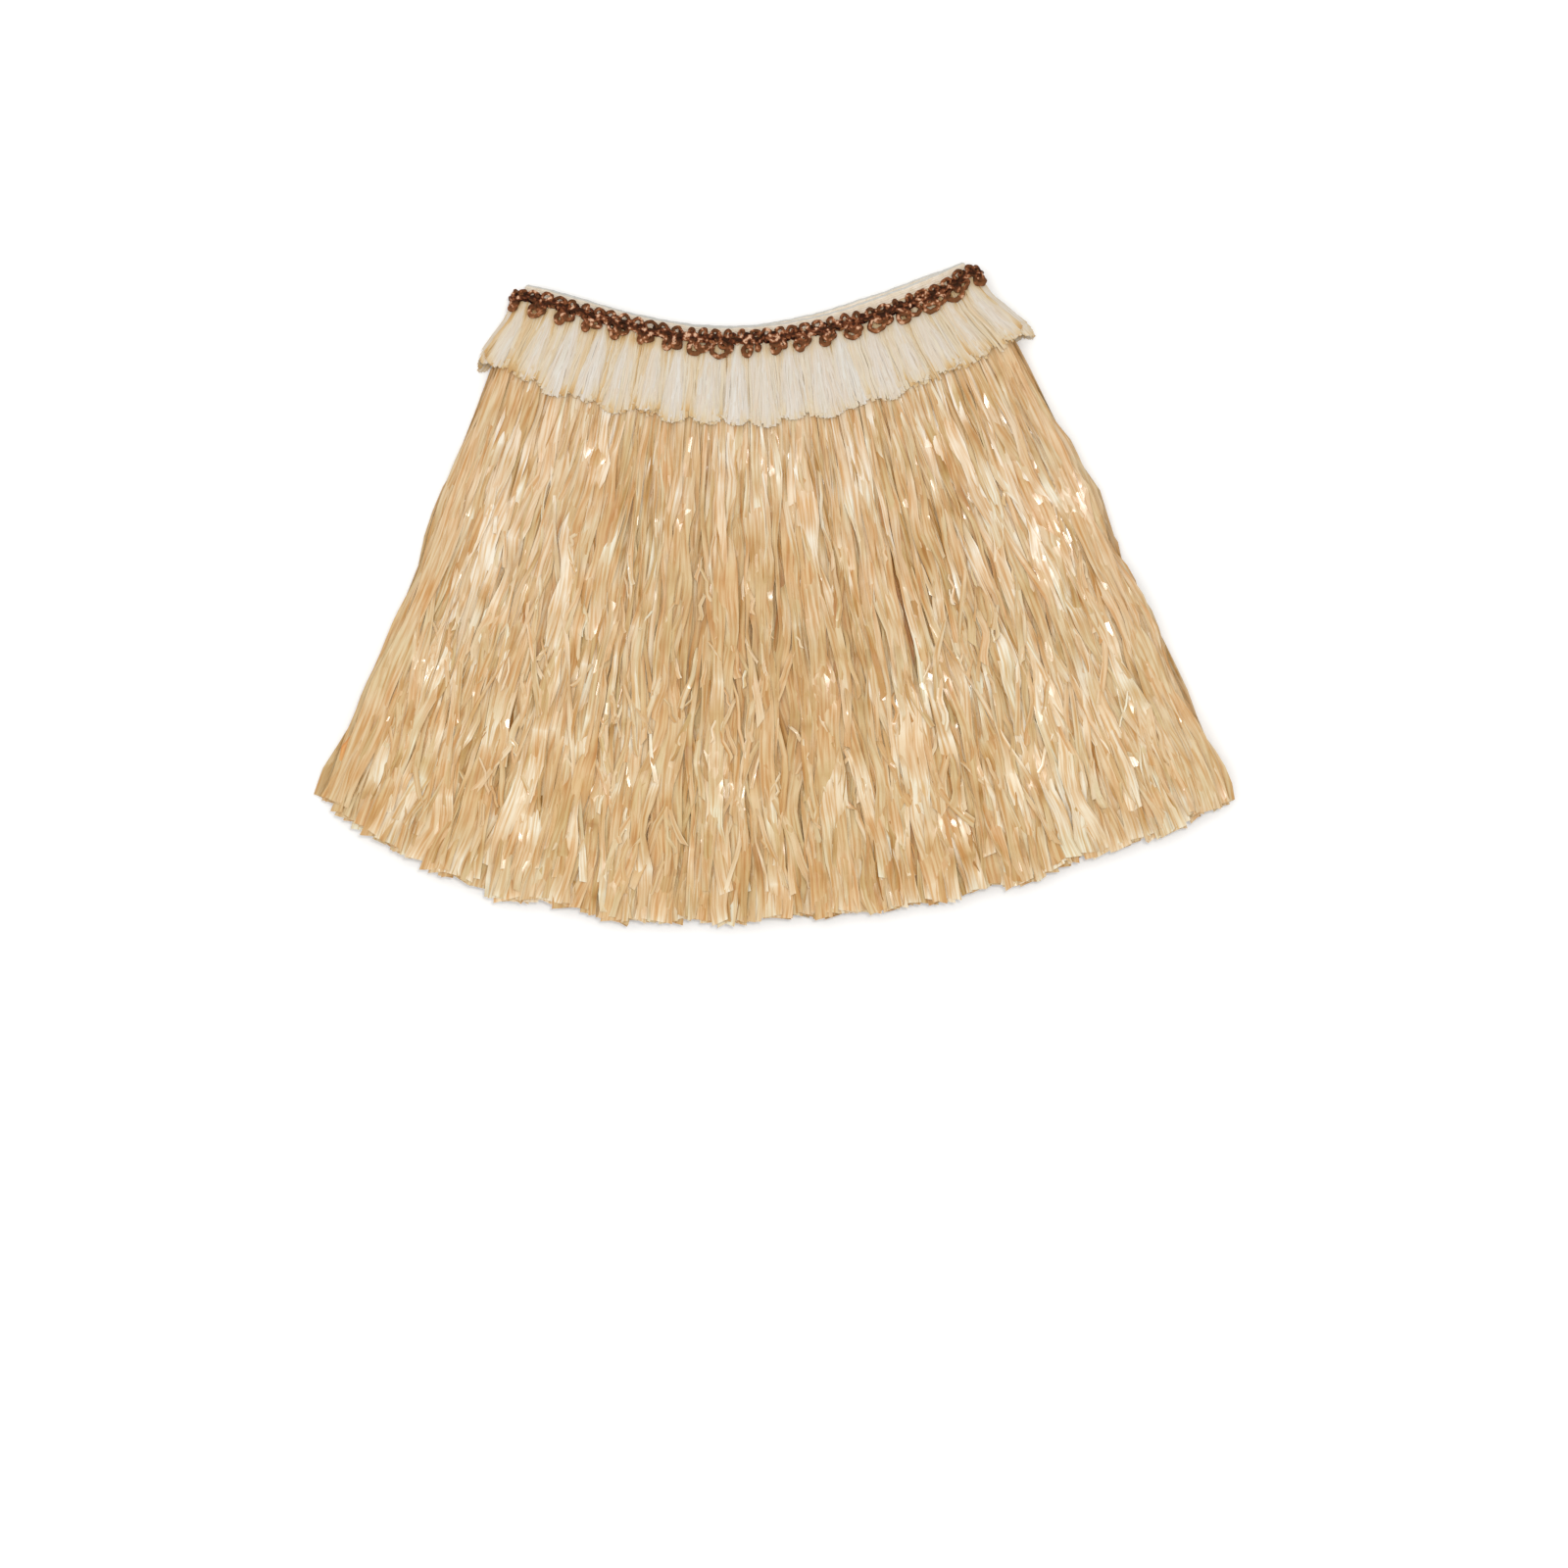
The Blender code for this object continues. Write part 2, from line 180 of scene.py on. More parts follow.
def stripMesh(name, centres, facing, halfWidths, twists, folds, tones, uvShift, endSlant):
    # Joins many ribbons into one mesh. centres is ribbon x ring x 3, facing is the way the ribbon's face
    # looks there, folds (ribbon x ring x point) is how high it is folded, in half widths, uvShift moves its
    # pattern, and endSlant is how far its end is cut askew, in half widths.
    strips, rings = centres.shape[:2]
    points = folds.shape[2]
    across = np.linspace(-1, 1, points)
    along = np.gradient(centres, axis=1)
    along /= np.linalg.norm(along, axis=2, keepdims=True)
    facing = facing - (facing * along).sum(2, keepdims=True) * along
    facing /= np.linalg.norm(facing, axis=2, keepdims=True)
    aside = np.cross(facing, along)
    c, s = np.cos(twists)[..., None], np.sin(twists)[..., None]
    widthWay, heightWay = aside * c + facing * s, facing * c - aside * s
    width = halfWidths[:, :, None, None] * across[None, None, :, None]
    height = halfWidths[:, :, None, None] * folds[..., None]
    verts = centres[:, :, None] + widthWay[:, :, None] * width + heightWay[:, :, None] * height
    cut = endSlant[:, None] * across[None] * halfWidths[:, -1:]
    verts[:, -1] += along[:, -1, None] * cut[..., None]
    verts[..., 2] = np.maximum(verts[..., 2], lay["floorGap"])

    ring, point = np.meshgrid(np.arange(rings - 1), np.arange(points - 1), indexing="ij")
    corner = (ring * points + point).ravel()
    quad = np.stack((corner, corner + points, corner + points + 1, corner + 1), axis=1)
    quads = (quad[None] + (np.arange(strips) * rings * points)[:, None, None]).reshape(-1, 4)

    mesh = bpy.data.meshes.new(name)
    mesh.vertices.add(strips * rings * points)
    mesh.vertices.foreach_set("co", verts.astype(np.float32).ravel())
    mesh.loops.add(quads.size)
    mesh.loops.foreach_set("vertex_index", quads.astype(np.int32).ravel())
    mesh.polygons.add(len(quads))
    mesh.polygons.foreach_set("loop_start", np.arange(0, quads.size, 4, dtype=np.int32))
    mesh.polygons.foreach_set("use_smooth", np.ones(len(quads), bool))
    mesh.update(calc_edges=True)

    step = np.linalg.norm(np.diff(centres, axis=1), axis=2).cumsum(1)
    length = np.concatenate((np.zeros((strips, 1)), step), axis=1)[:, :, None] + 0 * across
    uv = np.stack((np.broadcast_to(width[..., 0], length.shape), length), axis=-1) + uvShift[:, None, None]
    layer = mesh.uv_layers.new(name="strip")
    layer.uv.foreach_set("vector", uv.reshape(-1, 2)[quads.ravel()].astype(np.float32).ravel())
    tone = mesh.attributes.new("tone", "FLOAT", "POINT")
    tone.data.foreach_set("value", np.repeat(tones.ravel(), points).astype(np.float32))
    gloss = mesh.attributes.new("gloss", "FLOAT", "POINT")
    gloss.data.foreach_set("value", glossAt(verts.reshape(-1, 3)).astype(np.float32))
    piece = bpy.data.objects.new(name, mesh)
    bpy.context.scene.collection.objects.link(piece)
    return piece


def dress(piece, material, node):
    piece.data.materials.append(material)
    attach(piece, "root")
    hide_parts(node)
    print(piece.name, "made,", len(piece.data.polygons), "faces")


# Raffia film: thin plastic stretched into a ribbon and crumpled, so it has fine lines along it and flat
# glossy facets. It glints where a facet turns to the light. Deep between the strands its colour goes from
# straw to orange: painted shade, warm as light that comes through the film.
goldFilm = {
    "tones": (  # painted shade: from deep between the strands to the outermost film
        (0.0, "#A0733A"), (0.2, "#B6935F"), (0.45, "#C7AC83"),
        (0.75, "#CFB99B"), (0.9, "#D6C5AE"), (1.0, "#DED6CA"),
    ),
    "streaks": ((0.34, "#E6C596"), (0.6, "#FFFFFF")),
    "streakWidth": 1.8 * mm,  # drawn coarser than the real fibre lines, which are about 0.2 mm
    "streakLength": 34 * mm,
    "lines": 0.15,  # how strongly the fibre lines stand out
    "lineHeight": 0.3 * mm,
    "dyes": ((0.37, "#FFF2DC"), (0.5, "#FEFDF7"), (0.63, "#F5F8EA")),  # more orange, even, and greyer
    "dye": 0.7,
    "dyeLength": 60 * mm,
    "fromWaist": (110 * mm, -110 * mm),  # it gets more golden over this stretch, towards the hem
    "golden": "#FFFDF3",
    "facet": (3.5 * mm, 8 * mm),  # the flat bits between two creases
    "facetTilt": (0.24, 0.16),  # how far they lean, in dull film and in bright film
    "shiny": 0.93,  # facets past this share are smooth, wherever they are
    "roughness": 0.46,
    "glossy": 0.17,  # the roughness of smooth film
    "bright": (0.1, 0.6),  # film gets smoother between these shares of a bright bunch
    "ior": 1.42,
}


def makeRaffia(name, film):
    material, shader = newMaterial(name, {"IOR": film["ior"]})
    links = material.node_tree.links
    tone = addNode(material, "ShaderNodeAttribute", attribute_name="tone")
    bright = addNode(material, "ShaderNodeAttribute", attribute_name="gloss")
    base = addNode(material, "ShaderNodeValToRGB", {"Fac": tone.outputs["Fac"]})
    rampStops(base, film["tones"])
    uv = addNode(material, "ShaderNodeUVMap", uv_map="strip")
    stretch = addNode(material, "ShaderNodeMapping", {
        "Vector": uv.outputs["UV"], "Scale": (1 / film["streakWidth"], 1 / film["streakLength"], 1),
    })
    streak = addNode(material, "ShaderNodeTexNoise", {
        "Vector": stretch.outputs["Vector"], "Scale": 1.0, "Detail": 2.0,
    })
    streakTone = addNode(material, "ShaderNodeValToRGB", {"Fac": streak.outputs["Fac"]})
    rampStops(streakTone, film["streaks"])
    colour = addNode(material, "ShaderNodeMix", {
        "Factor": 1.0, "A": base.outputs["Color"], "B": streakTone.outputs["Color"],
    }, data_type="RGBA", blend_type="MULTIPLY")

    # one ribbon is a little more orange or greyer than the next
    dye = addNode(material, "ShaderNodeTexNoise", {
        "Vector": uv.outputs["UV"], "Scale": 1 / film["dyeLength"], "Detail": 1.0,
    })
    dyeTone = addNode(material, "ShaderNodeValToRGB", {"Fac": dye.outputs["Fac"]})
    rampStops(dyeTone, film["dyes"])
    dyed = addNode(material, "ShaderNodeMix", {
        "Factor": film["dye"], "A": colour.outputs["Result"], "B": dyeTone.outputs["Color"],
    }, data_type="RGBA", blend_type="MULTIPLY")
    place = addNode(material, "ShaderNodeTexCoord")
    spot = addNode(material, "ShaderNodeSeparateXYZ", {"Vector": place.outputs["Object"]})
    lower = addNode(material, "ShaderNodeMapRange", {
        "Value": spot.outputs["Y"], "From Min": film["fromWaist"][0], "From Max": film["fromWaist"][1],
    })
    golden = addNode(material, "ShaderNodeMix", {
        "Factor": lower.outputs["Result"], "A": dyed.outputs["Result"], "B": hexLinear(film["golden"]),
    }, data_type="RGBA", blend_type="MULTIPLY")
    links.new(golden.outputs["Result"], shader.inputs["Base Color"])
    lines = addNode(material, "ShaderNodeBump", {
        "Height": streak.outputs["Fac"], "Strength": film["lines"], "Distance": film["lineHeight"],
    })

    # each facet of the crumpled film leans its own way
    cell = addNode(material, "ShaderNodeMapping", {
        "Vector": uv.outputs["UV"], "Scale": (1 / film["facet"][0], 1 / film["facet"][1], 1),
    })
    facet = addNode(material, "ShaderNodeTexVoronoi", {"Vector": cell.outputs["Vector"], "Scale": 1.0})
    lean = addNode(material, "ShaderNodeVectorMath", {
        0: facet.outputs["Color"], 1: (0.5, 0.5, 0.5),
    }, operation="SUBTRACT")
    howFar = addNode(material, "ShaderNodeMapRange", {
        "Value": bright.outputs["Fac"], "To Min": film["facetTilt"][0], "To Max": film["facetTilt"][1],
    })
    leaning = addNode(material, "ShaderNodeVectorMath", {
        0: lean.outputs["Vector"], "Scale": howFar.outputs["Result"],
    }, operation="SCALE")
    normal = addNode(material, "ShaderNodeVectorMath", {
        0: lines.outputs["Normal"], 1: leaning.outputs["Vector"],
    }, operation="ADD")
    unit = addNode(material, "ShaderNodeVectorMath", {0: normal.outputs["Vector"]}, operation="NORMALIZE")
    links.new(unit.outputs["Vector"], shader.inputs["Normal"])

    # some facets are smooth, and so is all the film in a bright bunch
    chance = addNode(material, "ShaderNodeSeparateColor", {"Color": facet.outputs["Color"]})
    shiny = addNode(material, "ShaderNodeMath", {
        0: chance.outputs["Blue"], 1: film["shiny"],
    }, operation="GREATER_THAN")
    smooth = addNode(material, "ShaderNodeMath", {
        0: bright.outputs["Fac"], 1: shiny.outputs[0],
    }, operation="MAXIMUM")
    gloss = addNode(material, "ShaderNodeMapRange", {
        "Value": smooth.outputs[0], "From Min": film["bright"][0], "From Max": film["bright"][1],
        "To Min": film["roughness"], "To Max": film["glossy"],
    })
    links.new(gloss.outputs["Result"], shader.inputs["Roughness"])
    return material


goldRaffia = makeRaffia("goldRaffiaFilm", goldFilm)
# the inner curtains' copy of the film is painted more orange: painted shade for film lying deep in the heap
shadeRaffia = makeRaffia("shadeRaffiaFilm", {
    **goldFilm,
    "tones": ((0.0, "#C98D47"), (0.5, "#D9A868"), (1.0, "#E4BF88")),
    "streaks": ((0.34, "#E6C091"), (0.6, "#FFFFFF")),
})
print("raffia materials made")

# grass: long curtains of raffia ribbon, bunched into locks that open and close on the way down
grass = {
    "root": 10 * mm,
    "tape": (7 * mm, 17 * mm),  # top and bottom of the strip that the ribbons are sewn to
    "tapeTone": 0.6,
    "locks": (24, 64),  # big locks and small locks on each half
    "lockShift": 0.25,  # how far a lock's middle is from its even place, as a share of a lock
    "drawn": ((0.0, 0.28), (0.1, 0.62)),  # how far each lock draws its ribbons together, least and most
    "lockWave": (90, 230),  # it closes and opens again over this far, in mm
    "gathered": 120 * mm,  # how far down the locks are fully drawn
    "wander": 2.3 * mm,
    "wandering": 150 * mm,  # how far down the ribbons wander fully
    "drift": 0.01,
    "trim": ((0.0, 0.07, 0.93, 1.0), (9, 0, 0, -6)),  # the outermost ribbons are drawn in by this, in mm
    "trimmed": 220 * mm,
    "strays": 0.12,  # the share of the ribbons that cross their neighbours
    "strayFrom": (110, 340),  # they do so from this far down, in mm
    "strayDrift": 0.16,
    "strayShort": 0.05,
    "wide": 0.12,  # the share of wide ribbons
    "width": 3.2,  # half of a common ribbon's width, in mm
    "widths": 0.38,  # how much common ribbons differ in width
    "widest": (5.5, 9.0),  # half of a wide ribbon's width, in mm
    "halfLimits": (0.6 * mm, 10 * mm),
    "gathers": 110 * mm,  # ribbons are pinched narrower above this
    "openings": (0.1, 1.3),  # how much wider they open towards the hem
    "uneven": (0.0035, 0.003, 0.003),  # how unevenly big locks, small locks and single ribbons are cut
    "crumples": (  # the shortest and longest in mm, their slant, and their height in half widths
        (60, 160, 2.0, 0.22), (30, 70, 3.5, 0.16), (24, 40, 5.0, 0.10),
    ),
}
# tones run from 0, deep between the strands, to 1, the outermost film, and so paint shade by depth
grassTones = {
    "middle": 0.5,
    "ribbons": 0.15,  # how much the ribbons differ
    "heaped": 0.6,  # painted light and shade: paler at the top of a lock, darker deep in it
    "heapLevel": 0.62,
    "wide": 0.08,
    "waves": ((0.12, 40, 120), (0.06, 15, 35)),  # size, and the shortest and longest in mm
    "strokes": ((-0.4, 0.5), (0.34, 0.5)),  # short darker strokes of painted shadow and short paler strokes: change, and how often
    "strokeWave": (40, 110),
    "folds": 0.15,  # painted light: paler in the two folds of the skirt, where the ribbons turn sideways
    "hem": -0.04,
    "cutEnd": 0.3,  # painted light: paler at the very end of each ribbon
    "gaps": -0.22,  # painted shade: orange gaps open between the locks near the hem
    "outermost": (0.6, 0.7),  # the tone at the two sides, and how far they take it: painted light evening out the painted shade there
    "broad": 0.045,  # gentle changes over a few centimetres
    "least": (0.12, 0.32),  # narrow and wide ribbons: a dark wide ribbon looks like a hole
    "wideFrom": 3.4 * mm,
}
# depths near and far from the middle plane, in mm, at distances down, in mm
curtains = {
    "grassFrontOuter": {
        "node": "grass_front_outer", "side": front, "ribbons": 410, "rings": 35, "points": 6, "seed": 3,
        "fold": 0.022, "cut": 0.99, "loose": True,
        "down": (0, 18, 72, 120, 200, 290, 410),
        "near": (4.0, 4.0, 3.8, 3.9, 3.8, 3.3, 2.8),
        "far": (5.2, 5.2, 6.0, 8.9, 10.2, 9.7, 7.0),
    },
    "grassFrontInner": {
        "node": "grass_front_inner", "side": front, "ribbons": 430, "rings": 15, "points": 3, "seed": 4,
        "fold": 0.0, "cut": 0.96, "loose": False,
        "down": (0, 34, 72, 200, 405), "near": (2.4, 2.4, 0.4, 0.3, 0.3), "far": (3.6, 3.6, 3.4, 3.3, 2.4),
    },
    "grassBackInner": {
        "node": "grass_back_inner", "side": back, "ribbons": 400, "rings": 15, "points": 3, "seed": 5,
        "fold": 0.0, "cut": 0.96, "loose": False,
        "down": (0, 34, 72, 200, 405), "near": (2.4, 2.4, 0.3, 0.3, 0.5), "far": (3.6, 3.6, 3.6, 3.6, 3.9),
    },
    "grassBackOuter": {
        "node": "grass_back_outer", "side": back, "ribbons": 540, "rings": 22, "points": 5, "seed": 6,
        "fold": 0.022, "cut": 0.98, "loose": False,
        "down": (0, 18, 72, 95, 200, 290, 410),
        "near": (4.0, 4.0, 4.0, 4.0, 4.0, 4.05, 4.3),
        "far": (5.2, 5.2, 6.4, 9.3, 9.3, 9.3, 9.3),
    },
}

# broad patches where the grass is darker or paler: x, y and radius in mm, and the change of tone
shading = ((-5, -25, 75, -0.32), (5, 75, 50, 0.15), (215, -110, 80, 0.2), (-200, 0, 60, 0.05))


def spreadRoots(rng, count, fold):
    # evenly jittered round one half, those in the two folds turned from facing up to facing sideways
    start = (np.arange(count) + rng.uniform(0, 1, count)) / count
    turn = np.zeros(count)
    if fold:
        left, right = start < fold, start > 1 - fold
        turn[left] = -np.radians(70) * (1 - start[left] / fold)
        turn[right] = np.radians(70) * (1 - (1 - start[right]) / fold)
        start = np.clip((start - fold) / (1 - 2 * fold), 0, 1)
    return start, turn


def betweenLayers(piece, down, share):
    # the depth at a share of the way from a piece's near side to its far side
    near = np.interp(down / mm, piece["down"], piece["near"]) * mm
    far = np.interp(down / mm, piece["down"], piece["far"]) * mm
    return near + (far - near) * share


def lookingOut(side, turn, centres):
    # which way the ribbons face: up from the middle plane, and sideways in the folds
    facing = np.zeros_like(centres)
    facing[..., 0] = np.sin(turn)
    facing[..., 2] = side * np.cos(turn)
    return facing


def makeCurtain(name, piece):
    rng = np.random.default_rng(piece["seed"])
    n, rings, side = piece["ribbons"], piece["rings"], piece["side"]
    start, turn = spreadRoots(rng, n, piece["fold"])
    locks = [np.minimum((start * count).astype(int), count - 1) for count in grass["locks"]]
    stray = rng.uniform(0, 1, (n, 1)) < grass["strays"]
    longer = -np.abs(rng.normal(0, grass["uneven"][2], n)) - grass["strayShort"] * stray[:, 0]
    for lock, count, uneven in zip(locks, grass["locks"], grass["uneven"]):
        longer += rng.normal(0, uneven, count)[lock]
    length = fallAt("length", start) * mm * piece["cut"] * (1 + longer)
    down = grass["root"] + (length - grass["root"])[:, None] * np.linspace(0, 1, rings)[None]
    share = down / length[:, None]
    waves = wavesAlong(rng, down)

    # locks draw their ribbons together, more in some places than in others
    across = start[:, None] + 0 * down
    for lock, count, (least, most) in zip(locks, grass["locks"], grass["drawn"]):
        shift = rng.uniform(-grass["lockShift"], grass["lockShift"], count)[lock]
        middle = (lock + 0.5 + shift) / count
        wave = rng.uniform(*grass["lockWave"], count)[lock] * mm
        phase = rng.uniform(0, math.tau, count)[lock]
        closed = 0.5 + 0.5 * np.sin(math.tau * down / wave[:, None] + phase[:, None])
        draw = least + (most - least) * closed
        across += draw * fadeIn(down, 0, grass["gathered"]) * (middle - start)[:, None]
    offset = np.clip((start - middle) * count * 2, -1, 1)[:, None]  # from the middle of its small lock

    # each ribbon also wanders by itself, and a few stray across their neighbours
    aside = waves(grass["wander"], 80, 240) + waves(0.4 * grass["wander"], 35, 80)
    aside *= np.maximum(fadeIn(down, 0, grass["wandering"]), 0.1) * rng.uniform(0.2, 1.4, (n, 1))
    aside += rng.normal(0, grass["drift"], (n, 1)) * down
    trim = np.interp(start, *grass["trim"])[:, None] * (1 if piece["fold"] else 1.6)
    aside += trim * mm * fadeIn(down, 0, grass["trimmed"])
    leaves = rng.uniform(*grass["strayFrom"], (n, 1)) * mm
    eitherWay = np.sign(rng.uniform(-1, 1, n))
    inward = np.where(np.abs(start - 0.5) > 0.4, np.sign(0.5 - start), eitherWay)[:, None]
    drift = np.abs(rng.normal(0, grass["strayDrift"], (n, 1)))
    aside += stray * inward * drift * np.maximum(down - leaves, 0)

    # heaped highest in the middle of a lock
    heap = (0.5 + 0.5 * rng.uniform(0, 1, (n, 1))) * (1 - 0.5 * offset ** 2) + 0.3 * stray
    wide = (rng.uniform(0, 1, n) < grass["wide"])[:, None]
    heap = np.clip(heap + 0.1 * wide + waves(0.1, 90, 260), 0, 1)
    centres = layPlace(side, across, turn[:, None], down, betweenLayers(piece, down, heap), aside)
    facing = lookingOut(side, turn[:, None] * (1 - 0.8 * fadeIn(share, 0, 0.5)), centres)

    # bright film lies flat and open, and wide ribbons twist less
    calm = 1 - 0.85 * glossAt(centres.reshape(-1, 3)).reshape(n, rings)
    widest = rng.uniform(*grass["widest"], (n, 1))
    half = np.where(wide, widest, grass["width"] * rng.lognormal(0, grass["widths"], (n, 1))) * mm
    pinched = np.maximum(fadeIn(down, 0, grass["gathers"]), 0.35)
    opening = 1 + rng.uniform(*grass["openings"], (n, 1)) * fadeIn(share, 0.6, 1)
    halfWidths = half * pinched * opening * (1 + waves(0.28, 45, 150)) * (1.5 - 0.5 * calm)
    halfWidths = np.clip(halfWidths, *grass["halfLimits"]) * np.where(stray, 0.5, 1)
    stiff = np.clip(grass["width"] * mm / half, 0.35, 1)
    twists = (waves(rng.uniform(0.05, 0.6, (n, 1)), 60, 220) - side * 0.25 * offset) * calm * stiff

    # crumples run slantwise over each ribbon
    acrossRibbon = np.linspace(-1, 1, piece["points"])
    folds = np.zeros((n, rings, piece["points"]))
    for shortest, longest, slant, size in grass["crumples"]:
        wave = rng.uniform(shortest, longest, (n, 1, 1)) * mm
        lean = rng.uniform(-slant, slant, (n, 1, 1)) * acrossRibbon
        phase = rng.uniform(0, math.tau, (n, 1, 1))
        folds += size * np.sin(math.tau * down[:, :, None] / wave + lean + phase)
    ends = 1 - 0.7 * fadeIn(share, 0.93, 1)
    folds *= rng.uniform(0.2, 0.9, (n, 1, 1)) * (calm * stiff * ends)[..., None]

    # tones paint shade deep in the heap, in strokes and gaps, and paint light in the folds, sides and cut
    # ends
    look = grassTones
    tones = rng.normal(look["middle"], look["ribbons"], (n, 1)) + look["heaped"] * (heap - look["heapLevel"])
    for wave in look["waves"]:
        tones += waves(*wave)
    tones += look["wide"] * wide
    for change, often in look["strokes"]:
        picked = rng.uniform(0, 1, (n, 1)) < often
        tones += change * picked * fadeIn(waves(1, *look["strokeWave"]), 0.6, 0.85)
    tones += look["folds"] * (np.abs(turn[:, None]) > 0) + look["hem"] * fadeIn(share, 0.72, 0.92)
    tones += look["cutEnd"] * fadeIn(share, 0.96, 1)
    tones += look["gaps"] * ~wide * offset ** 4 * fadeIn(share, 0.76, 0.88)
    sideTone, sideStrength = look["outermost"]
    tones += sideStrength * fadeIn(np.abs(start - 0.5), 0.46, 0.48)[:, None] * (sideTone - tones)
    x, y = centres[..., 0] / mm, centres[..., 1] / mm
    tones += look["broad"] * (np.sin(x / 31 + 1.3) * np.sin(y / 43 + 0.4) + np.sin(x / 17 - y / 37))
    for placeX, placeY, radius, change in shading:
        tones += change * np.exp(-(np.hypot(x - placeX, y - placeY) / radius) ** 2)
    leastNarrow, leastWide = look["least"]
    tones = np.clip(tones, np.where(half > look["wideFrom"], leastWide, leastNarrow), 1)
    return stripMesh(
        name, centres, facing, halfWidths, twists, folds, tones,
        rng.uniform(0, 40, (n, 2)), rng.uniform(-0.35, 0.35, n),
    )


# ends that come up between the locks and lie across them, and short broken bits: how far down they start,
# their lengths and half widths in mm, and their leans in degrees
looseEnds = {
    "Strands": {
        "count": 110, "seed": 50, "rings": 9, "first": (200, 345), "length": (25, 68), "lean": (4, 22),
        "bend": 2.2, "halfWidth": (1.2, 2.7), "tone": 0.68,
    },
    "Bits": {
        "count": 150, "seed": 60, "rings": 7, "first": (150, 360), "length": (10, 28), "lean": (5, 32),
        "bend": 0.8, "halfWidth": (0.7, 1.5), "tone": 0.8,
    },
}
looseLimit = (400, 12)  # none reaches further down than this many mm, less up to 12


def makeLooseEnds(name, piece, ends):
    rng = np.random.default_rng(piece["seed"] + ends["seed"])
    rings, side, count = ends["rings"], piece["side"], ends["count"]
    start = rng.uniform(0.03, 0.97, (count, 1))
    share = np.linspace(0, 1, rings)[None]
    first = rng.uniform(*ends["first"], (count, 1)) * mm
    length = rng.uniform(*ends["length"], (count, 1)) * mm
    room = (looseLimit[0] - looseLimit[1] * rng.uniform(0, 1, (count, 1))) * mm - first
    down = first + np.minimum(length, room) * share
    eitherWay = np.sign(rng.uniform(-1, 1, (count, 1)))
    inward = np.where(np.abs(start - 0.5) > 0.3, np.sign(0.5 - start), eitherWay)
    leanest, leaning = ends["lean"]
    lean = inward * np.tan(np.radians(leanest + leaning * rng.uniform(0, 1, (count, 1)) ** 2))
    bend = rng.normal(0, ends["bend"], (count, 1)) * mm * np.sin(math.pi * share)
    bend += rng.normal(0, 0.7, (count, 1)) * mm * np.sin(math.tau * 1.5 * share)
    depth = betweenLayers(piece, down, np.minimum(0.55 + 2.5 * share, 1.02))
    centres = layPlace(side, start, 0, down, depth, lean * (down - first) + bend)
    halfWidths = rng.uniform(*ends["halfWidth"], (count, 1)) * mm * (0.8 + 0.4 * share)
    most = rng.uniform(0.0, 0.5, (count, 1))
    twists = most * np.sin(math.tau * share + rng.uniform(0, math.tau, (count, 1)))
    folds = rng.uniform(-0.3, 0.3, (count, rings, 1)) * np.array((0, 1, 0))
    tones = np.clip(rng.normal(ends["tone"], 0.14, (count, 1)) + 0 * down, 0, 1)
    return stripMesh(
        name, centres, lookingOut(side, 0, centres), halfWidths, twists, folds, tones,
        rng.uniform(0, 40, (count, 2)), rng.uniform(-1.5, 1.5, count),
    )


def gimpSpot(share):
    # across and turn at a share of the way round one half, its two quarter turns included
    quarter = math.pi / 2 * lay["halfThickness"]
    whole = lay["chord"] + 2 * quarter
    along = share * whole
    across = np.clip((along - quarter) / lay["chord"], 0, 1)
    leftTurn = np.minimum(along / quarter - 1, 0)
    rightTurn = np.maximum(1 - (whole - along) / quarter, 0)
    return across, (leftTurn + rightTurn) * math.pi / 2


def headerTape(name, piece, settings):
    # the strip that a fringe's ends are sewn to
    top, bottom = settings["tape"]
    across, turn = gimpSpot(np.linspace(0, 1, 160))
    depth = (piece["near"][0] + piece["far"][0]) / 2 * mm
    centres = layPlace(piece["side"], across, turn, (top + bottom) / 2, depth)[None]
    rings = centres.shape[1]
    halfWidths = np.full((1, rings), (bottom - top) / 2)
    return stripMesh(
        name, centres, lookingOut(piece["side"], turn, centres), halfWidths, 0 * halfWidths,
        np.zeros((1, rings, 3)), 0 * halfWidths + settings["tapeTone"], np.zeros((1, 2)), np.zeros(1),
    )


def joinPieces(target, others):
    bpy.ops.object.select_all(action="DESELECT")
    for piece in others:
        piece.select_set(True)
    target.select_set(True)
    bpy.context.view_layer.objects.active = target
    bpy.ops.object.join()


for name, piece in curtains.items():
    curtain = makeCurtain(name, piece)
    parts = [headerTape(name + "Tape", piece, grass)]
    if piece["loose"]:
        parts += [makeLooseEnds(name + key, piece, ends) for key, ends in looseEnds.items()]
    joinPieces(curtain, parts)
    dress(curtain, goldRaffia if "Outer" in name else shadeRaffia, piece["node"])

# Short fringe: soft pale raffia, dull and almost white, tied in tufts that spread towards their cut ends
paleRaffia = makeRaffia("paleRaffiaFringe", {
    **goldFilm,
    # from tan, for painted shade and the tinted cut ends, to the palest film
    "tones": ((0.0, "#B68E58"), (0.25, "#C6AA7E"), (0.55, "#CDC0AA"), (0.8, "#CCC4BA"), (1.0, "#CFCBC5")),
    "streaks": ((0.34, "#F4EBE0"), (0.6, "#FFFFFF")),
    "streakWidth": 0.8 * mm,  # again coarser than the real fibre lines
    "streakLength": 30 * mm,
    "lines": 0.3,
    "dye": 0.3,
    "dyeLength": 80 * mm,
    "facet": (4 * mm, 12 * mm),
    "facetTilt": (0.08, 0.08),
    "shiny": 1.0,  # no facet is
    "roughness": 0.68,
    "glossy": 0.6,
    "ior": 1.4,
})
